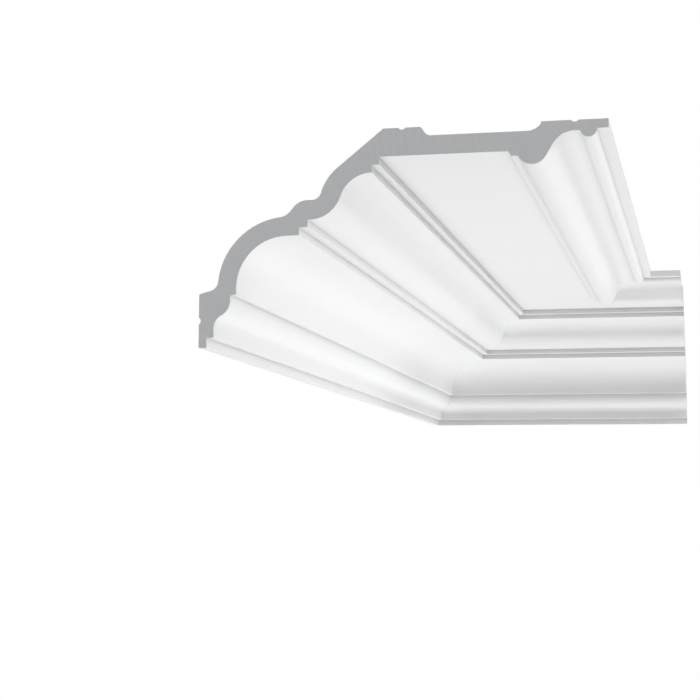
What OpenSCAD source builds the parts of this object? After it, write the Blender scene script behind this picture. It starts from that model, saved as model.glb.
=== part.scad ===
// Mitred inside corner of a large cornice moulding, in light moulded foam.
//
// Two lengths of one moulding meet on a 45 degree mitre in the corner of a room. The section
// is drawn once, with x as the distance out from the wall and y as the height, negative below
// the ceiling, and both lengths are extruded from it.
//
// The left length lies along the left wall and is cut square at its near end. The back length
// lies along the back wall and is cut square just past the tip of the corner.

/* [Overall] */
// How far the moulding reaches out from the wall, along the ceiling
projection = 278; // [230:1:335]
// How far the moulding reaches down the wall from the ceiling
drop = 146.5; // [122:0.5:176]
// Length of the left length along its wall, from the room corner to the near cut
left_run = 960; // [500:1:1500]
// How far the back length runs on past the tip of the corner
past_tip = 30; // [10:1:600]

/* [Foot on the wall] */
// Width of the toe, the lowest face
toe_w = 5.6; // [4:0.1:8]
// Height of the toe fillet
toe_h = 6.9; // [4:0.1:9]
// Step out from the toe fillet to the second fillet
step_w = 5; // [3:0.1:8]
// Height of the second fillet
step_h = 6.4; // [4:0.1:9]

/* [Lower ogee] */
// Width of the lower ogee
low_ogee_w = 11.5; // [8:0.1:15]
// Height of the lower ogee
low_ogee_h = 19; // [15:0.1:23]
// Straight between the two bends of the lower ogee
low_ogee_straight = 1.3; // [0:0.1:6]
// Share of the first bend in the two bends' radii
low_ogee_share = 0.46; // [0.35:0.01:0.65]
// Height of the fillet above the lower ogee
ogee_fillet_h = 3.8; // [3:0.1:7]

/* [Cove] */
// Step out to the fillet that carries the cove
cove_step_w = 4.2; // [3:0.1:7]
// Height of the fillet that carries the cove
cove_fillet_h = 4.7; // [3:0.1:8]
// Width of the cove; its height is what the other members leave of the drop
cove_w = 35.2; // [28:0.1:43]
// Flat above the cove, out to the middle fillets
cove_flat_w = 8.5; // [5:0.1:15]

/* [Main ogee] */
// Height of the first middle fillet
mid_rise_1 = 5.4; // [3:0.1:8]
// Step between the two middle fillets
mid_step_w = 6; // [3:0.1:9]
// Height of the second middle fillet
mid_rise_2 = 5.1; // [3:0.1:8]
// Flat between the second middle fillet and the main ogee
main_flat_w = 1.5; // [0.5:0.1:4]
// Width of the main ogee
main_ogee_w = 42.5; // [35:0.5:52]
// Height of the main ogee
main_ogee_h = 30.7; // [25:0.1:37]
// Straight between the two bends of the main ogee
main_ogee_straight = 1; // [0:0.1:12]
// Share of the first bend in the two bends' radii
main_ogee_share = 0.49; // [0.35:0.01:0.65]
// Height of the first fillet above the main ogee
top_rise_1 = 5.1; // [3:0.1:8]
// Step between the two fillets above the main ogee
top_step_w = 5.1; // [3:0.1:8]
// Height of the second fillet above the main ogee
top_rise_2 = 5.5; // [3:0.1:8]
// Thickness of the soffit, the wide flat under the ceiling
soffit_t = 19.2; // [16:0.1:24]

/* [Outer edge] */
// How far the fillet at the outer end of the soffit hangs below it
lip_h = 3.3; // [2:0.1:5]
// Width of the chamfer that leads down to that fillet
lip_chamfer = 1.9; // [1:0.1:3]
// Width of that fillet's flat
lip_w = 4.5; // [3:0.1:6]
// Width of the roll, from the fillet to its lowest point
roll_w = 9.4; // [7:0.1:12]
// Depth of the roll below the fillet
roll_h = 5.9; // [4:0.1:8]
// Width of the outer ogee
outer_ogee_w = 27.8; // [23:0.1:33]
// Height of the outer ogee
outer_ogee_h = 21.3; // [17:0.1:26]
// Straight between the two bends of the outer ogee
outer_ogee_straight = 9.6; // [0:0.1:14]
// Share of the first bend in the two bends' radii
outer_ogee_share = 0.39; // [0.35:0.01:0.65]
// Flat between the outer ogee and the bead
bead_flat_w = 3.8; // [2:0.1:6]
// How far that flat lies below the middle of the bead
bead_flat_drop = 0.9; // [0:0.1:3]
// Radius of the bead
bead_r = 5.5; // [4:0.1:7]
// Width of the last fillet, against the ceiling
edge_w = 7.5; // [5:0.1:10]
// Height of the last fillet, against the ceiling
edge_h = 6.2; // [5:0.1:8]

/* [Back] */
// Distance from the soffit's inner end out to where the back meets the ceiling
back_top_w = 2.6; // [0:0.1:6]
// Thickness behind the cove
cove_t = 13.2; // [9:0.1:16]
// Thickness behind the middle fillets
mid_t = 13.6; // [9:0.1:17]
// Width of the shelf behind the middle fillets
shelf_w = 2.9; // [1:0.1:5]
// Slope of the long straight back, in degrees
slope_angle = 39; // [34:1:44]
// Width of the long straight back
slope_w = 31.7; // [25:0.1:38]
// Drop from the fillet that carries the cove to the top of the wall foot
foot_h = 3.8; // [2:0.1:8]
// Slope of the top of the wall foot, in degrees
foot_slope = 15; // [10:1:25]
// Width of that slope
foot_slope_w = 7.6; // [5:0.1:10]

/* [Glue faces] */
// Width of the inner glue face on the ceiling
inner_glue_w = 25.5; // [20:0.5:32]
// Width of the outer glue face on the ceiling
outer_glue_w = 44.1; // [36:0.1:50]
// Depth of the recess between the two glue faces
recess_d = 6; // [4:0.1:8]
// Width of the glue groove along each glue face
groove_w = 4.6; // [3:0.1:6]
// Depth of that groove
groove_d = 1.3; // [0.8:0.1:2]

/* [Hidden] */

// Turn between neighbouring points of a curve, in degrees
facet = 3;
// Distance of the origin in from the outer edge, on the ceiling face of the left length
origin_in = 11;
// Clearance of the mitre's cutting block around the moulding
around = 20;
// Least height of the riser between the bead and the last fillet
least_riser = 0.01;
// First arc of each reverse curve on the back, as a multiple of its second
slope_ratio = 2.15;
shelf_ratio = 1.25;
// Distance of the shelf's outer end from the second middle fillet
shelf_out = 2.7;
// Ends of the hollow behind the cove, in degrees up from the wall side
hollow_top = 83.5;
hollow_foot = 5.5;
// Side of the recess at the outer glue face: a short straight, then a curve to the floor
recess_side = [0.5, 2];
recess_curve_w = 9;
// Side of the recess at the inner glue face: a slope, then a small chamfer to the floor
recess_slope_w = 3.8;
recess_chamfer = [2.2, 1];

// Heights of the members, down from the ceiling and up from the toe
y_soffit = -soffit_t;
y_top = y_soffit - top_rise_2;
y_main_end = y_top - top_rise_1;
y_main = y_main_end - main_ogee_h;
y_mid = y_main - mid_rise_2;
y_cove_end = y_mid - mid_rise_1;
y_step = -drop + toe_h;
y_low = y_step + step_h;
y_low_end = y_low + low_ogee_h;
y_cove_step = y_low_end + ogee_fillet_h;
y_cove = y_cove_step + cove_fillet_h;

// Distances of the members from the wall, out from the toe and in from the outer edge
x_low = toe_w + step_w;
x_low_end = x_low + low_ogee_w;
x_cove = x_low_end + cove_step_w;
x_cove_end = x_cove + cove_w;
x_mid = x_cove_end + cove_flat_w;
x_main = x_mid + mid_step_w;
x_main_start = x_main + main_flat_w;
x_main_end = x_main_start + main_ogee_w;
x_soffit = x_main_end + top_step_w;
x_edge = projection - edge_w;
x_bead = x_edge - 2 * bead_r;
x_outer_end = x_bead - bead_flat_w;
x_roll = x_outer_end - outer_ogee_w;
x_lip_end = x_roll - roll_w;
x_lip = x_lip_end - lip_w;

// Ends of the two glue faces on the ceiling
x_back_top = x_soffit + back_top_w;
x_inner_glue = x_back_top + inner_glue_w;
x_outer_glue = projection - outer_glue_w;

// Heights of the outer members, down from the soffit and back up to the bead
y_lip = y_soffit - lip_h;
y_roll = y_lip - roll_h;
y_outer_end = y_roll + outer_ogee_h;
y_bead = y_outer_end + bead_flat_drop;

// An angle brought to between -180 and 180 degrees
function wrapped(angle) = angle - 360 * round(angle / 360);

// Unit vectors along a heading and to its left
function along(h) = [cos(h), sin(h)];
function left_of(h) = [-sin(h), cos(h)];

// Heading from a to b
function heading(a, b) = atan2(b[1] - a[1], b[0] - a[0]);

// Heading at b of the arc that leaves a in the heading h
function arrival(a, h, b) = h + 2 * wrapped(heading(a, b) - h);

// Points of the arc that leaves a in the heading h and ends at b, without a itself
function bend(a, h, b) =
    let (
        turn = arrival(a, h, b) - h,
        r = norm(b - a) / (2 * sin(turn / 2)),
        centre = a + r * left_of(h),
        count = ceil(abs(turn) / facet)
    )
    [for (i = [1 : count]) centre - r * left_of(h + turn * i / count)];

// Points of an ogee that leaves a and reaches b in the same heading h: two bends to opposite
// sides, with a straight between them. The share is the first bend's, of the two radii.
function ogee(a, h, b, straight, share) =
    let (
        w = (b - a) * along(h),
        rise = (b - a) * left_of(h),
        side = sign(rise),
        radii = (w * w + rise * rise - straight * straight) / (2 * abs(rise)),
        from = a + side * share * radii * left_of(h),
        to = b - side * (1 - share) * radii * left_of(h),
        steep = heading(from, to) + side * atan2(radii, straight),
        leave = from - side * share * radii * left_of(steep),
        join = to + side * (1 - share) * radii * left_of(steep)
    )
    concat(bend(a, h, leave), [join], bend(join, steep, b));

// Points of a reverse curve from a in the heading ha to b in the heading hb: two arcs that
// share a tangent. The ratio is the length of the first arc's tangents to the second's.
function reverse_curve(a, ha, b, hb, ratio) =
    let (
        v = b - a,
        parting = 2 * ratio * (1 - along(ha) * along(hb)),
        reach = v * (ratio * along(ha) + along(hb)),
        second = (sqrt(reach * reach + parting * (v * v)) - reach) / parting,
        from = a + ratio * second * along(ha),
        to = b - second * along(hb),
        middle = (from + ratio * to) / (1 + ratio)
    )
    concat(bend(a, ha, middle), bend(middle, arrival(a, ha, middle), b));

// Points of a quarter ellipse about a centre, between two angles measured up from the wall side
function quarter(centre, w, h, from, to) =
    let (count = ceil(abs(to - from) / facet))
    [
        for (i = [0 : count])
            let (t = from + (to - from) * i / count)
            centre + [-w * cos(t), h * sin(t)]
    ];

// Points of the shallow round groove along the middle of the face from a to b
function glue_groove(a, b) =
    let (
        middle = (a + b) / 2,
        h = heading(a, b),
        start = middle - groove_w / 2 * along(h),
        end = middle + groove_w / 2 * along(h)
    )
    concat([start], bend(start, h + 2 * atan(2 * groove_d / groove_w), end));

// The visible members from the toe up to the top of the cove
function wall_members() = concat(
    [[0, -drop], [toe_w, -drop], [toe_w, y_step], [x_low, y_step], [x_low, y_low]],
    ogee([x_low, y_low], 90, [x_low_end, y_low_end], low_ogee_straight, low_ogee_share),
    [[x_low_end, y_cove_step], [x_cove, y_cove_step]],
    quarter([x_cove_end, y_cove], cove_w, y_cove_end - y_cove, 0, 90)
);

// The visible members from the middle fillets to the far side of the soffit
function ceiling_members() = concat(
    [[x_mid, y_cove_end], [x_mid, y_mid], [x_main, y_mid], [x_main, y_main], [x_main_start, y_main]],
    ogee([x_main_start, y_main], 0, [x_main_end, y_main_end], main_ogee_straight, main_ogee_share),
    [[x_main_end, y_top], [x_soffit, y_top], [x_soffit, y_soffit], [x_lip - lip_chamfer, y_soffit]]
);

// The visible members of the outer edge: fillet, roll, outer ogee, bead and last fillet. The
// bead's round starts on the flat before it. It ends on the underside of the last fillet, or
// under a riser where that lies higher than the middle of the bead.
function edge_members() =
    let (
        lip = [x_lip_end, y_lip],
        roll = [x_roll, y_roll],
        centre = [x_bead + bead_r, y_bead],
        start = centre - [sqrt(bead_r * bead_r - bead_flat_drop * bead_flat_drop), bead_flat_drop],
        dip = max(0, y_bead + edge_h),
        end = centre + [sqrt(bead_r * bead_r - dip * dip), -dip]
    )
    concat(
        [[x_lip, y_lip], lip],
        bend(lip, 2 * heading(lip, roll), roll),
        ogee(roll, 0, [x_outer_end, y_outer_end], outer_ogee_straight, outer_ogee_share),
        [start],
        bend(start, heading(centre, start) + 90, end),
        y_bead + edge_h < -least_riser ? [[x_edge, -edge_h]] : [],
        [[projection, -edge_h]]
    );

// The hidden side from the outer edge in along the ceiling: glue face, recess, glue face
function ceiling_faces() =
    let (
        side_foot = [x_outer_glue - recess_side[0], -recess_side[1]],
        floor_end = [side_foot[0] - recess_curve_w, -recess_d],
        slope_foot = [x_inner_glue + recess_slope_w, recess_chamfer[1] - recess_d]
    )
    concat(
        [[projection, 0]],
        glue_groove([projection, 0], [x_outer_glue, 0]),
        [[x_outer_glue, 0], side_foot],
        bend(side_foot, 2 * heading(side_foot, floor_end) - 180, floor_end),
        [slope_foot + [recess_chamfer[0], -recess_chamfer[1]], slope_foot, [x_inner_glue, 0]],
        glue_groove([x_inner_glue, 0], [x_back_top, 0]),
        [[x_back_top, 0]]
    );

// The hidden side from the ceiling down to the wall: long slope, shelf behind the middle
// fillets, hollow behind the cove, sloping top of the foot and the glue face on the wall
function back_faces() =
    let (
        slope_end = [x_back_top - slope_w, -slope_w * tan(slope_angle)],
        shelf = [x_main + shelf_out, y_main + mid_t],
        shelf_end = shelf - [shelf_w, 0],
        hollow_w = cove_w + cove_t,
        hollow_h = y_cove_end - y_cove + cove_t,
        hollow = quarter([x_cove_end, y_cove], hollow_w, hollow_h, hollow_top, hollow_foot),
        at_top = atan2(-hollow_h * cos(hollow_top), -hollow_w * sin(hollow_top)),
        at_foot = atan2(-hollow_h * cos(hollow_foot), -hollow_w * sin(hollow_foot)),
        foot_top = [0, y_cove - foot_h],
        foot_slope_end = foot_top + foot_slope_w * [1, tan(foot_slope)]
    )
    concat(
        [slope_end],
        reverse_curve(slope_end, 180 + slope_angle, shelf, 180, slope_ratio),
        [shelf_end],
        reverse_curve(shelf_end, 180, hollow[0], at_top, shelf_ratio),
        hollow,
        bend(hollow[len(hollow) - 1], at_foot, foot_slope_end),
        [foot_top],
        glue_groove(foot_top, [0, -drop])
    );

module section() {
    polygon(concat(wall_members(), ceiling_members(), edge_members(), ceiling_faces(), back_faces()));
}

// A length along the left wall, from the room corner at the origin towards -y, with the
// mitre on the corner's diagonal and a square cut at the far end
module mitred_length(run) {
    intersection() {
        rotate([90, 0, 0])
            linear_extrude(run)
                section();
        translate([0, 0, -drop - around])
            linear_extrude(drop + 2 * around)
                polygon([
                    [-around, around],
                    [-around, -run - around],
                    [projection + around, -run - around],
                    [projection + around, -projection - around]
                ]);
    }
}

// Moves the room corner from the origin, so that the origin lies on the ceiling face
module from_origin() {
    translate([origin_in - projection, projection, 0]) children();
}

module left_length() {
    color("whitesmoke") from_origin() mitred_length(left_run);
}

// The left length's mirror image across the mitre, with its own run
module back_length() {
    color("whitesmoke") from_origin() mirror([1, 1, 0]) mitred_length(projection + past_tip);
}

left_length();
back_length();
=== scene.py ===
import bisect
import math

import bmesh
import bpy
import numpy as np
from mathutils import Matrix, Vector


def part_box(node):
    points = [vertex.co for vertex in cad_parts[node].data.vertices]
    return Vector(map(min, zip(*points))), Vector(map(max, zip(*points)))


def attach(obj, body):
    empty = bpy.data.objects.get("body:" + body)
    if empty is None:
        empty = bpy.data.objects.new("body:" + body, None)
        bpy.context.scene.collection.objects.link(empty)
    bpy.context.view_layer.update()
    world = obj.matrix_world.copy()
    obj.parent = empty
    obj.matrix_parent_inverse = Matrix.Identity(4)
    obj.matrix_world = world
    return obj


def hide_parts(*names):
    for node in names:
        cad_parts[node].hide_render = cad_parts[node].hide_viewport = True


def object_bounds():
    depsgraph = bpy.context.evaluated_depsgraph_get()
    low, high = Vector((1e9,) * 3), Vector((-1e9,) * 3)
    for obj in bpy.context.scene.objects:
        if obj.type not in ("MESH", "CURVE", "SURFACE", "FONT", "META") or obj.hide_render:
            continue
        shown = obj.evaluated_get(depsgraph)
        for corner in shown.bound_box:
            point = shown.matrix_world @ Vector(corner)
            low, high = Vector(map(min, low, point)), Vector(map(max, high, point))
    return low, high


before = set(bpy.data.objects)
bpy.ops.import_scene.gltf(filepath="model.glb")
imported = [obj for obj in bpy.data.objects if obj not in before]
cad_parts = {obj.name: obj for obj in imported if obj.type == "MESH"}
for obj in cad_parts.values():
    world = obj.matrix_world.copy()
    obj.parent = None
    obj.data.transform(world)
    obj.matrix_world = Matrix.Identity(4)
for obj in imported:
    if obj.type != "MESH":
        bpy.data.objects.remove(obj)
cad_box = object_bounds()

MM = 0.001

# The corner of the room, where the two wall faces of the lengths meet
ROOM_CORNER = Vector((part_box("left_length")[0].x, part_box("left_length")[1].y, 0))
# Length of each run, from the room corner to its square cut
LEFT_RUN = ROOM_CORNER.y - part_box("left_length")[0].y
BACK_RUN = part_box("back_length")[1].x - ROOM_CORNER.x

# Turn of the outline that makes a corner; a curve turns less from one point to the next
CORNER_TURN = math.radians(20)
# Radius left on outer corners, on inner corners and on the corners of the hidden side
ARRIS_R = 0.45 * MM
QUIRK_R = 0.35 * MM
HIDDEN_R = 0.3 * MM
# Steps round each of them, and the strip beside it that keeps the flats flat
CORNER_STEPS = 5
FLAT_STRIP = 0.3 * MM
# Most that the rounds at its two ends may each take of a stretch between corners
CORNER_SHARE = 0.42
# A face lies on the square cut when its corners are all within this of the cut's level
LEVEL_SLACK = 0.01 * MM
# Points of the outline that are closer than this are one
SAME_POINT = 0.015 * MM
# Gap kept between a drawn point and the round of a corner
CORNER_GAP = 0.02 * MM
# A stretch of the visible face that is longer than this is divided into steps
LONG_STRETCH = 2.5 * MM
FACE_STEP = 1.2 * MM
# How far off a member still darkens its neighbour with painted shade, how many rays are
# tried to find out, and how far in front of the face they start
SHADE_REACH = 12 * MM
SHADE_RAYS = 24
SHADE_LIFT = 0.03 * MM
# How far a ray and the end of a side of the outline draw apart, in metres, when the two are
# as good as parallel
NEARLY_NONE = 1e-12
# Softening of the edges round a square cut and along the mitre
SAWN_EDGE = 0.2 * MM
MITRE_EDGE = 0.1 * MM
# About how far apart the rings of a sweep are
RING_GAP = 120 * MM


# Where a point of the section lies: out from the wall, up from the ceiling, along the run
def on_left_wall(out, height, along):
    return Vector((ROOM_CORNER.x + out, ROOM_CORNER.y - along, height))


def on_back_wall(out, height, along):
    return Vector((ROOM_CORNER.x + along, ROOM_CORNER.y - out, height))


# ---------------------------------------------------------------- outline of the section


def square_cut_edges(node, side, lowest):
    """The edges round a node's square cut, as pairs of points (the other two coordinates)."""
    mesh = node.data
    level = (min if lowest else max)(v.co[side] for v in mesh.vertices)
    kept = [axis for axis in range(3) if axis != side]
    edges = set()
    for face in mesh.polygons:
        corners = [mesh.vertices[i].co for i in face.vertices]
        if any(abs(c[side] - level) > LEVEL_SLACK for c in corners):
            continue
        points = [tuple(round(c[axis], 6) for axis in kept) for c in corners]
        for a, b in zip(points, points[1:] + points[:1]):
            if (b, a) in edges:
                edges.remove((b, a))
            else:
                edges.add((a, b))
    return edges


def ordered(edges):
    """The points of a closed outline, in order."""
    following = dict(edges)
    point = start = next(iter(sorted(following)))
    outline = []
    while not outline or point != start:
        outline.append(point)
        point = following[point]
    return outline


def section_outline(node, side, lowest, to_section):
    """The section as points (out, height), anticlockwise from the middle of the wall's face."""
    points = [Vector(to_section(*p)) for p in ordered(square_cut_edges(node, side, lowest))]
    area = sum(a.cross(b) for a, b in zip(points, points[1:] + points[:1]))
    if area < 0:
        points.reverse()
    toe = min(range(len(points)), key=lambda i: (round(points[i].x, 5), points[i].y))
    points = points[toe:] + points[:toe]
    return [(points[-1] + points[0]) / 2] + points


def stations_of(outline):
    """The distance of each point round the outline, and last the whole way round."""
    stations = [0.0]
    for a, b in zip(outline, outline[1:] + outline[:1]):
        stations.append(stations[-1] + (b - a).length)
    return stations


def turn_at(outline, i):
    """The turn at a point, positive at an outer corner."""
    a = outline[i] - outline[i - 1]
    b = outline[(i + 1) % len(outline)] - outline[i]
    return math.atan2(a.cross(b), a.dot(b))


def corners_of(outline, stations, front):
    """(index, station, turn, cut back) of each corner, cut back for a round of its radius."""
    sharp = [i for i in range(len(outline)) if abs(turn_at(outline, i)) > CORNER_TURN]
    places = [stations[i] for i in sharp]
    corners = []
    for k, i in enumerate(sharp):
        turn = turn_at(outline, i)
        radius = ARRIS_R if turn > 0 else QUIRK_R
        if not front[0] <= places[k] <= front[1]:
            radius = HIDDEN_R
        before = places[k] - (places[k - 1] if k else places[-1] - stations[-1])
        after = (places[k + 1] if k + 1 < len(places) else places[0] + stations[-1]) - places[k]
        cut_back = min(radius * math.tan(abs(turn) / 2), CORNER_SHARE * min(before, after))
        corners.append((i, places[k], turn, cut_back))
    return corners


def softened(outline):
    """The outline with its corners rounded, as (station, point, corner), where corner is 1 on
    the crown of an outer corner, -1 in an inner one and 0 away from both. Also the stations
    between which the outline is the visible face."""
    stations = stations_of(outline)
    top = max(range(len(outline)), key=lambda i: (round(outline[i].x, 5), outline[i].y))
    front = (stations[1], stations[top])
    corners = corners_of(outline, stations, front)

    def point_at(station):
        i = min(bisect.bisect_right(stations, station) - 1, len(outline) - 1)
        share = (station - stations[i]) / (stations[i + 1] - stations[i])
        return outline[i].lerp(outline[(i + 1) % len(outline)], share)

    def clear_of_corners(station, gap):
        return all(abs(station - place) > cut_back + gap for _, place, _, cut_back in corners)

    drawn = [
        (stations[i], point, 0.0)
        for i, point in enumerate(outline)
        if clear_of_corners(stations[i], CORNER_GAP)
    ]
    for i, place, turn, cut_back in corners:
        first = point_at(place - cut_back)
        last = point_at(place + cut_back)
        for k in range(CORNER_STEPS + 1):
            share = k / CORNER_STEPS
            point = first.lerp(outline[i], share).lerp(outline[i].lerp(last, share), share)
            crown = math.copysign(4 * share * (1 - share), turn)
            drawn.append((place + (2 * share - 1) * cut_back, point, crown))
        for beside in (place - cut_back - FLAT_STRIP, place + cut_back + FLAT_STRIP):
            # A little less than the strip, so that the corner it belongs to doesn't count
            if clear_of_corners(beside, 0.9 * FLAT_STRIP):
                drawn.append((beside, point_at(beside), 0.0))
    drawn.sort(key=lambda entry: entry[0])
    kept = [drawn[0]]
    for entry in drawn[1:]:
        if (entry[1] - kept[-1][1]).length > SAME_POINT:
            kept.append(entry)
    return divided(kept, front), front


def divided(drawn, front):
    """The drawn outline with the long stretches of its visible face divided into steps."""
    result = [drawn[0]]
    for a, b in zip(drawn, drawn[1:]):
        gap = b[0] - a[0]
        if gap > LONG_STRETCH and a[0] >= front[0] and b[0] <= front[1]:
            count = math.ceil(gap / FACE_STEP)
            for k in range(1, count):
                share = k / count
                corner = a[2] + (b[2] - a[2]) * share
                result.append((a[0] + gap * share, a[1].lerp(b[1], share), corner))
        result.append(b)
    return result


def distance_along(ray, start, corner, side):
    """How far each ray runs from its start before it first meets a side of the outline."""
    gap = corner[None] - start[:, None]
    cross = ray[:, None, 0] * side[None, :, 1] - ray[:, None, 1] * side[None, :, 0]
    # A ray parallel to a side is taken to meet it very far off
    cross[np.abs(cross) < NEARLY_NONE] = NEARLY_NONE
    far = (gap[..., 0] * side[None, :, 1] - gap[..., 1] * side[None, :, 0]) / cross
    share = (gap[..., 0] * ray[:, None, 1] - gap[..., 1] * ray[:, None, 0]) / cross
    met = (far > 0) & (share >= 0) & (share <= 1)
    return np.where(met, far, np.inf).min(1)


def openness(points):
    """How open each point of the outline is to the air in front of it: 1 on a clear face, and
    less where the next member stands close by. The materials paint shade by it."""
    corner = np.array([tuple(p) for p in points])
    side = np.roll(corner, -1, 0) - corner
    along = np.roll(corner, -1, 0) - np.roll(corner, 1, 0)
    along /= np.linalg.norm(along, axis=1)[:, None]
    out = np.stack([along[:, 1], -along[:, 0]], 1)
    total = np.zeros(len(corner))
    for k in range(SHADE_RAYS):
        lean = (2 * k + 1) / SHADE_RAYS - 1
        ray = out * math.sqrt(1 - lean * lean) + along * lean
        far = distance_along(ray, corner + SHADE_LIFT * out, corner, side)
        total += np.minimum(far / SHADE_REACH, 1)
    return [float(value) for value in total / SHADE_RAYS]


def inset(outline, depth):
    """The outline moved inwards by a depth."""
    moved = []
    for i, point in enumerate(outline):
        a = (point - outline[i - 1]).normalized()
        b = (outline[(i + 1) % len(outline)] - point).normalized()
        inwards = Vector((-a.y - b.y, a.x + b.x))
        moved.append(point + inwards * depth / (1 + a.dot(b)))
    return moved


# ---------------------------------------------------------------- the swept lengths

# Places of the three finishes in a length's list
PRIMED, BARE, SAWN = range(3)


def rings_of(outline, run):
    """Rings of (out, height, along) from the square cut to the mitre, where along equals out."""
    square = run - SAWN_EDGE
    near = square - 2 * FLAT_STRIP

    def part_way(point, share):
        far = point.x + MITRE_EDGE + 2 * FLAT_STRIP
        return (point.x, point.y, near + (far - near) * share)

    rings = [[(p.x, p.y, run) for p in inset(outline, SAWN_EDGE)]]
    rings.append([(p.x, p.y, square) for p in outline])
    count = max(2, round(run / RING_GAP))
    for k in range(count + 1):
        rings.append([part_way(p, k / count) for p in outline])
    rings.append([(p.x, p.y, p.x + MITRE_EDGE) for p in outline])
    rings.append([(p.x, p.y, p.x) for p in inset(outline, MITRE_EDGE)])
    return rings


def faces_between(rings, drawn, front):
    """The faces that close a length round its rings, and the finish of each."""
    count = len(drawn)
    faces = [tuple(range(count))]
    kinds = [SAWN]
    for r in range(len(rings) - 1):
        sawn = r == 0 or r == len(rings) - 2
        for i in range(count):
            j = (i + 1) % count
            faces.append((r * count + i, r * count + j, (r + 1) * count + j, (r + 1) * count + i))
            middle = (drawn[i][0] + drawn[j][0]) / 2
            seen = j > 0 and front[0] < middle < front[1]
            kinds.append(SAWN if sawn else PRIMED if seen else BARE)
    last = (len(rings) - 1) * count
    faces.append(tuple(range(last, last + count)))
    kinds.append(SAWN)
    return faces, kinds


def set_values(mesh, name, values):
    """Keeps a number for each vertex, for the materials to read."""
    mesh.attributes.new(name, "FLOAT", "POINT").data.foreach_set("value", values)


def moulding(name, outline, run, place, materials):
    """One closed length: primed on its visible face, bare behind, sawn at both ends."""
    drawn, front = softened(outline)
    points = [entry[1] for entry in drawn]
    rings = rings_of(points, run)
    faces, kinds = faces_between(rings, drawn, front)

    mesh = bpy.data.meshes.new(name)
    mesh.from_pydata([place(*p) for ring in rings for p in ring], [], faces)
    for material in materials:
        mesh.materials.append(material)
    mesh.polygons.foreach_set("material_index", kinds)
    mesh.polygons.foreach_set("use_smooth", [len(face) == 4 for face in faces])
    set_values(mesh, "corner", [entry[2] for entry in drawn] * len(rings))
    set_values(mesh, "round_section", [entry[0] for entry in drawn] * len(rings))
    set_values(mesh, "along_run", [p[2] for ring in rings for p in ring])
    # How open each place is, for the shade painted into the recesses
    set_values(mesh, "openness", openness(points) * len(rings))

    shaped = bmesh.new()
    shaped.from_mesh(mesh)
    bmesh.ops.recalc_face_normals(shaped, faces=shaped.faces)
    ends = [face for face in shaped.faces if len(face.verts) > 4]
    bmesh.ops.triangulate(shaped, faces=ends, ngon_method="BEAUTY")
    shaped.to_mesh(mesh)
    shaped.free()

    piece = bpy.data.objects.new(name, mesh)
    bpy.context.scene.collection.objects.link(piece)
    return piece


# ---------------------------------------------------------------- shared effects


def put(tree, kind, inputs=None, **settings):
    """Adds a node. Each input is a plain value, or the output that it is linked from."""
    node = tree.nodes.new(kind)
    for name, value in settings.items():
        setattr(node, name, value)
    for name, value in (inputs or {}).items():
        if isinstance(value, bpy.types.NodeSocket):
            tree.links.new(value, node.inputs[name])
        else:
            node.inputs[name].default_value = value
    return node


def math_step(tree, operation, a, b):
    """The result of one step of arithmetic on two values."""
    return put(tree, "ShaderNodeMath", {0: a, 1: b}, operation=operation).outputs[0]


def spread(tree, value, low, high, from_low=0.0, from_high=1.0):
    """A value brought from one range to another, held at both ends."""
    inputs = {
        "Value": value,
        "From Min": from_low,
        "From Max": from_high,
        "To Min": low,
        "To Max": high,
    }
    return put(tree, "ShaderNodeMapRange", inputs).outputs[0]


def effect(name, inputs, outputs):
    """An empty shader node group with named number inputs and outputs, and its two ends."""
    tree = bpy.data.node_groups.new(name, "ShaderNodeTree")
    for label, value in inputs.items():
        socket = tree.interface.new_socket(label, in_out="INPUT", socket_type="NodeSocketFloat")
        socket.default_value = value
    for label in outputs:
        tree.interface.new_socket(label, in_out="OUTPUT", socket_type="NodeSocketFloat")
    given = tree.nodes.new("NodeGroupInput").outputs
    result = tree.nodes.new("NodeGroupOutput").inputs
    return tree, given, result


def place_divided(tree, size):
    """The place on the object, in units of a size."""
    place = put(tree, "ShaderNodeTexCoord").outputs["Object"]
    step = math_step(tree, "DIVIDE", 1.0, size)
    return put(tree, "ShaderNodeVectorMath", {0: place, "Scale": step}, operation="SCALE").outputs[0]


def uneven_tone():
    """A tone about 1, broadly and softly uneven."""
    tree, given, result = effect("uneven tone", {"Size": 50 * MM, "Amount": 0.03}, ["Tone"])
    place = place_divided(tree, given["Size"])
    noise = put(tree, "ShaderNodeTexNoise", {"Vector": place, "Scale": 1.0, "Detail": 3.0})
    centred = math_step(tree, "SUBTRACT", noise.outputs["Fac"], 0.5)
    swing = math_step(tree, "MULTIPLY", centred, given["Amount"])
    tree.links.new(math_step(tree, "ADD", swing, 1.0), result["Tone"])
    return tree


def fine_skin():
    """The fine, soft skin that a spray coat or a mould leaves."""
    tree, given, result = effect("fine skin", {"Size": 1 * MM}, ["Height"])
    place = place_divided(tree, given["Size"])
    noise = put(tree, "ShaderNodeTexNoise", {"Vector": place, "Scale": 1.0, "Detail": 2.0})
    tree.links.new(noise.outputs["Fac"], result["Height"])
    return tree


def open_cells():
    """Cells of the foam: how open each place is, from 0 to 1, over a share of the cells."""
    tree, given, result = effect("open cells", {"Size": 0.5 * MM, "Share": 0.5}, ["Open"])
    place = place_divided(tree, given["Size"])
    cells = put(tree, "ShaderNodeTexVoronoi", {"Vector": place, "Scale": 1.0, "Randomness": 1.0})
    depth = spread(tree, cells.outputs["Distance"], 1.0, 0.0, 0.15, 0.5)
    drawn = put(tree, "ShaderNodeSeparateColor", {"Color": cells.outputs["Color"]}).outputs[0]
    chosen = math_step(tree, "LESS_THAN", drawn, given["Share"])
    tree.links.new(math_step(tree, "MULTIPLY", depth, chosen), result["Open"])
    return tree


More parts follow.
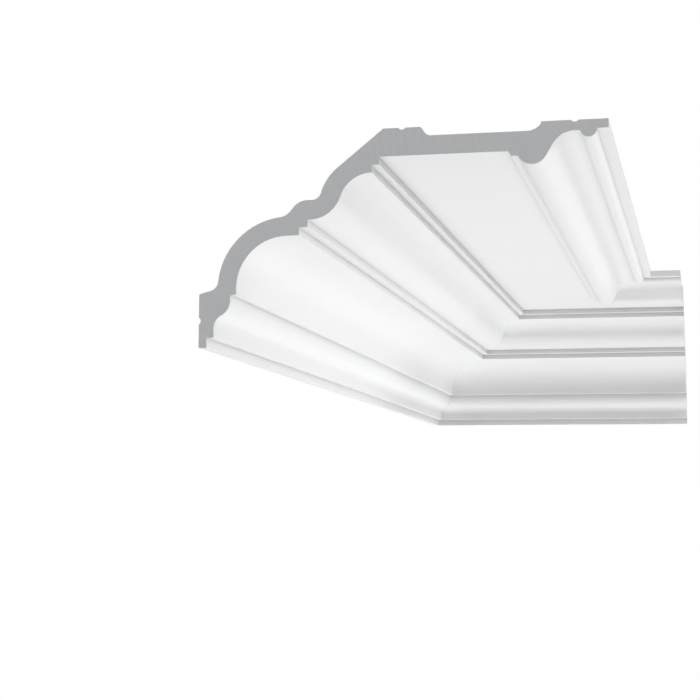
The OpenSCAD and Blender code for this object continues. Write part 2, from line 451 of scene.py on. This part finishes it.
def worn_and_shaded_corners():
    """Outer corners rubbed bright here and there, and shade painted into the inner corners in
    patches.
    """
    tree, given, result = effect("worn and shaded corners", {"Size": 20 * MM}, ["Rubbed", "Corner shade"])
    place = place_divided(tree, given["Size"])
    noise = put(tree, "ShaderNodeTexNoise", {"Vector": place, "Scale": 1.0, "Detail": 4.0})
    broken = spread(tree, noise.outputs["Fac"], 0.0, 1.0, 0.4, 0.65)
    corner = put(tree, "ShaderNodeAttribute", attribute_name="corner").outputs["Fac"]
    outer = spread(tree, corner, 0.0, 1.0)
    inner = spread(tree, corner, 1.0, 0.0, -1.0, 0.0)
    tree.links.new(math_step(tree, "MULTIPLY", outer, broken), result["Rubbed"])
    # Painted shade in the inner corners, broken into patches
    patchy = spread(tree, noise.outputs["Fac"], 0.6, 1.0, 0.35, 0.65)
    tree.links.new(math_step(tree, "MULTIPLY", inner, patchy), result["Corner shade"])
    return tree


def recesses():
    """How deep each place lies between its neighbours, from 0 on a clear face to 1, for painted
    shade.
    """
    tree, _, result = effect("recesses", {}, ["Depth"])
    openness_here = put(tree, "ShaderNodeAttribute", attribute_name="openness").outputs["Fac"]
    tree.links.new(spread(tree, openness_here, 1.0, 0.0, 0.6, 1.0), result["Depth"])
    return tree


def drawn_streaks():
    """A tone about 1, in faint streaks along the length, as a long mould leaves."""
    inputs = {"Width": 4 * MM, "Length": 250 * MM, "Amount": 0.03}
    tree, given, result = effect("drawn streaks", inputs, ["Tone"])
    along = put(tree, "ShaderNodeAttribute", attribute_name="along_run").outputs["Fac"]
    across = put(tree, "ShaderNodeAttribute", attribute_name="round_section").outputs["Fac"]
    place_along = math_step(tree, "DIVIDE", along, given["Length"])
    place_across = math_step(tree, "DIVIDE", across, given["Width"])
    places = {"X": place_along, "Y": place_across}
    place = put(tree, "ShaderNodeCombineXYZ", places).outputs[0]
    noise = put(tree, "ShaderNodeTexNoise", {"Vector": place, "Scale": 1.0, "Detail": 3.0})
    centred = math_step(tree, "SUBTRACT", noise.outputs["Fac"], 0.5)
    swing = math_step(tree, "MULTIPLY", centred, given["Amount"])
    tree.links.new(math_step(tree, "ADD", swing, 1.0), result["Tone"])
    return tree


effects = {
    tree.name: tree
    for tree in (
        uneven_tone(),
        fine_skin(),
        open_cells(),
        worn_and_shaded_corners(),
        recesses(),
        drawn_streaks(),
    )
}


def use(tree, name, **inputs):
    """Places a shared effect in a material, with its own values, and gives its outputs."""
    node = put(tree, "ShaderNodeGroup", node_tree=effects[name])
    for label, value in inputs.items():
        node.inputs[label.capitalize()].default_value = value
    return node.outputs


# ---------------------------------------------------------------- finishes

PRIMER_WHITE = (0.820, 0.822, 0.826)
BARE_SKIN = (0.760, 0.757, 0.738)
SAWN_GREY = (0.700, 0.716, 0.734)


def finish_named(name):
    """An empty material with its Principled shader, its tree and that shader's inputs."""
    material = bpy.data.materials.new(name)
    material.use_nodes = True
    shader = material.node_tree.nodes["Principled BSDF"]
    return material, material.node_tree, shader.inputs


def toned(tree, colour, tone):
    """A colour made lighter or darker by a tone about 1."""
    inputs = {0: colour, "Scale": tone}
    return put(tree, "ShaderNodeVectorMath", inputs, operation="SCALE").outputs[0]


def bumped(tree, height, distance, strength=1.0):
    """The normal of a surface with fine heights, as high as a distance."""
    inputs = {"Height": height, "Distance": distance, "Strength": strength}
    return put(tree, "ShaderNodeBump", inputs).outputs["Normal"]


def primed_finish():
    """Smooth white primer, sprayed: a matt face with a soft, fine skin, with shade painted in:
    up to a tenth darker in the inner corners and up to a fifth darker in the recesses."""
    material, tree, shader = finish_named("primed face")
    corners = use(tree, "worn and shaded corners", size=60 * MM)
    tone = use(tree, "uneven tone", size=90 * MM, amount=0.02)["Tone"]
    # Painted shade: the inner corners up to a tenth darker, in patches
    tone = math_step(tree, "MULTIPLY", tone, spread(tree, corners["Corner shade"], 1.0, 0.9))
    # Painted shade: up to a fifth darker where the next member stands close by
    depth = use(tree, "recesses")["Depth"]
    tone = math_step(tree, "MULTIPLY", tone, spread(tree, depth, 1.0, 0.80))
    tree.links.new(toned(tree, PRIMER_WHITE, tone), shader["Base Color"])
    skin = use(tree, "fine skin", size=1.2 * MM)["Height"]
    rough = spread(tree, skin, 0.46, 0.54, 0.3, 0.7)
    tree.links.new(rough, shader["Roughness"])
    tree.links.new(bumped(tree, skin, 0.012 * MM), shader["Normal"])
    shader["IOR"].default_value = 1.45
    shader["Specular IOR Level"].default_value = 0.25
    return material


def bare_finish():
    """The moulded back, unprimed: duller, faintly streaked, with a few pinholes."""
    material, tree, shader = finish_named("bare back")
    tone = use(tree, "uneven tone", size=40 * MM, amount=0.08)["Tone"]
    streaks = use(tree, "drawn streaks", width=5 * MM, amount=0.06)["Tone"]
    holes = use(tree, "open cells", size=4 * MM, share=0.05)["Open"]
    rubbed = use(tree, "worn and shaded corners", size=30 * MM)["Rubbed"]
    tone = math_step(tree, "MULTIPLY", tone, streaks)
    tone = math_step(tree, "MULTIPLY", tone, spread(tree, holes, 1.0, 0.8))
    tone = math_step(tree, "MULTIPLY", tone, spread(tree, rubbed, 1.0, 1.05))
    # Painted shade: up to 8 % darker where the next member stands close by
    depth = use(tree, "recesses")["Depth"]
    tone = math_step(tree, "MULTIPLY", tone, spread(tree, depth, 1.0, 0.92))
    tree.links.new(toned(tree, BARE_SKIN, tone), shader["Base Color"])
    skin = use(tree, "fine skin", size=3 * MM)["Height"]
    tree.links.new(spread(tree, skin, 0.55, 0.72, 0.3, 0.7), shader["Roughness"])
    height = math_step(tree, "SUBTRACT", skin, math_step(tree, "MULTIPLY", holes, 3.0))
    tree.links.new(bumped(tree, height, 0.06 * MM), shader["Normal"])
    return material


def sawn_finish():
    """Sawn foam: pale grey, with fine open cells and the faint sweep of a saw."""
    material, tree, shader = finish_named("sawn foam")
    fine = use(tree, "open cells", size=0.45 * MM, share=0.55)["Open"]
    coarse = use(tree, "open cells", size=1.6 * MM, share=0.10)["Open"]
    cells = math_step(tree, "MAXIMUM", fine, coarse)
    tone = use(tree, "uneven tone", size=12 * MM, amount=0.04)["Tone"]
    tone = math_step(tree, "MULTIPLY", tone, spread(tree, cells, 1.0, 0.93))
    place = put(tree, "ShaderNodeTexCoord").outputs["Object"]
    # This scale sets the rings of the saw about a millimetre apart
    sweep = {"Vector": place, "Scale": 300.0, "Distortion": 0.6, "Detail": 1.0}
    saw = put(tree, "ShaderNodeTexWave", sweep, wave_type="RINGS", rings_direction="SPHERICAL")
    marks = saw.outputs["Fac"]
    tone = math_step(tree, "MULTIPLY", tone, spread(tree, marks, 0.99, 1.01))
    tree.links.new(toned(tree, SAWN_GREY, tone), shader["Base Color"])
    tree.links.new(spread(tree, cells, 0.75, 0.9), shader["Roughness"])
    height = math_step(tree, "SUBTRACT", math_step(tree, "MULTIPLY", marks, 0.15), cells)
    tree.links.new(bumped(tree, height, 0.08 * MM, 0.5), shader["Normal"])
    return material


# ---------------------------------------------------------------- the object

# In the order of PRIMED, BARE and SAWN
finishes = [primed_finish(), bare_finish(), sawn_finish()]

left_outline = section_outline(
    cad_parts["left_length"], 1, True, lambda x, z: (x - ROOM_CORNER.x, z)
)
left = moulding("left_moulding", left_outline, LEFT_RUN, on_left_wall, finishes)
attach(left, "root")
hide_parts("left_length")

back_outline = section_outline(
    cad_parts["back_length"], 0, False, lambda y, z: (ROOM_CORNER.y - y, z)
)
back = moulding("back_moulding", back_outline, BACK_RUN, on_back_wall, finishes)
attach(back, "root")
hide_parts("back_length")

# ---------------------------------------------------------------- floor, light and camera

# Height of the room, from the floor up to the ceiling face of the moulding
ROOM_HEIGHT = 2.95
FLOOR_SIDE = 16.0
# Level of the light that comes from all round
SURROUND = 0.02
# How much of the light that falls on it the floor throws back, and what it adds in view
FLOOR_TONE = 0.45
FLOOR_GLOW = 0.66
# Distance of the lamps from the middle of the moulding
LAMP_DISTANCE = 2.3
# Place of the eye from the room corner, its turns about X, Y and Z in degrees, and its lens
# and sensor in millimetres
EYE = Vector((0.3448, -2.0256, -0.2601))
EYE_TURNS = (95.783, -0.349, 12.605)
LENS = 84.67
SENSOR = 36


def seen_directly(tree):
    """1 for rays that reach the eye straight, by a mirror or through glass, or else 0."""
    rays = put(tree, "ShaderNodeLightPath").outputs
    seen = math_step(tree, "MAXIMUM", rays["Is Camera Ray"], rays["Is Glossy Ray"])
    return math_step(tree, "MAXIMUM", seen, rays["Is Transmission Ray"])


def light_surround():
    """An even light from all round, which shows as plain white."""
    world = bpy.data.worlds.new("white room")
    world.use_nodes = True
    tree = world.node_tree
    background = tree.nodes["Background"].inputs
    background["Color"].default_value = (1, 1, 1, 1)
    strength = spread(tree, seen_directly(tree), SURROUND, 1.0)
    tree.links.new(strength, background["Strength"])
    bpy.context.scene.world = world


def pale_floor():
    """A plain floor, a room's height below the ceiling face. It shows pale but throws little
    light back up, so that the mouldings keep their shade."""
    half = FLOOR_SIDE / 2
    corners = [(-half, -half), (half, -half), (half, half), (-half, half)]
    mesh = bpy.data.meshes.new("floor")
    mesh.from_pydata([(x, y, -ROOM_HEIGHT) for x, y in corners], [], [(0, 1, 2, 3)])
    material, tree, shader = finish_named("pale floor")
    shader["Base Color"].default_value = (FLOOR_TONE, FLOOR_TONE, FLOOR_TONE, 1)
    shader["Roughness"].default_value = 0.9
    shader["Emission Color"].default_value = (1, 1, 1, 1)
    glow = spread(tree, seen_directly(tree), 0.0, FLOOR_GLOW)
    tree.links.new(glow, shader["Emission Strength"])
    mesh.materials.append(material)
    floor = bpy.data.objects.new("floor", mesh)
    bpy.context.scene.collection.objects.link(floor)


def hold_lamp(name, light, direction):
    """Hangs a lamp in a direction from the moulding. It shines on it and isn't seen itself."""
    direction = Vector(direction).normalized()
    holder = bpy.data.objects.new(name, light)
    holder.location = (cad_box[0] + cad_box[1]) / 2 + direction * LAMP_DISTANCE
    holder.rotation_euler = direction.to_track_quat("Z", "Y").to_euler()
    holder.visible_camera = False
    bpy.context.scene.collection.objects.link(holder)


def soft_box(name, direction, power, side):
    """A square lamp with a soft edge to its shadows."""
    light = bpy.data.lights.new(name, "AREA")
    light.shape = "SQUARE"
    light.size = side
    light.energy = power
    hold_lamp(name, light, direction)


def far_light(name, direction, strength, angle):
    """A level light from far off, alike over the whole moulding."""
    light = bpy.data.lights.new(name, "SUN")
    light.energy = strength
    light.angle = math.radians(angle)
    hold_lamp(name, light, direction)


def light_lamps():
    """Most light from below, some from the right, and just enough on the cut and the back.
    A soft box has a power in watts and a side in metres, and a far light a strength in watts
    per square metre and the angle in degrees that it fills."""
    soft_box("below", (0, 0, -1), power=30, side=1.4)
    soft_box("below_behind", (0.1, 0.5, -0.86), power=4, side=1.4)
    soft_box("low_right", (0.87, 0, -0.5), power=9.5, side=0.6)
    far_light("front", (0, -1, 0.1), strength=0.45, angle=20)
    far_light("right", (1, 0, 0.1), strength=0.8, angle=20)
    far_light("right_behind", (0.7, 0.7, 0.12), strength=0.85, angle=20)
    far_light("over_front", (0, -0.7, 0.7), strength=1.2, angle=20)
    far_light("over_behind", (-0.55, 0.60, 0.58), strength=1.8, angle=60)


def place_camera():
    """The eye in front of the square cut and below the ceiling, looking up into the corner."""
    camera = bpy.data.cameras.new("camera")
    camera.sensor_width = SENSOR
    camera.lens = LENS
    holder = bpy.data.objects.new("camera", camera)
    holder.location = ROOM_CORNER + EYE
    holder.rotation_euler = [math.radians(turn) for turn in EYE_TURNS]
    bpy.context.scene.collection.objects.link(holder)
    bpy.context.scene.camera = holder


light_surround()
pale_floor()
light_lamps()
place_camera()
bpy.context.scene.view_settings.view_transform = "Standard"
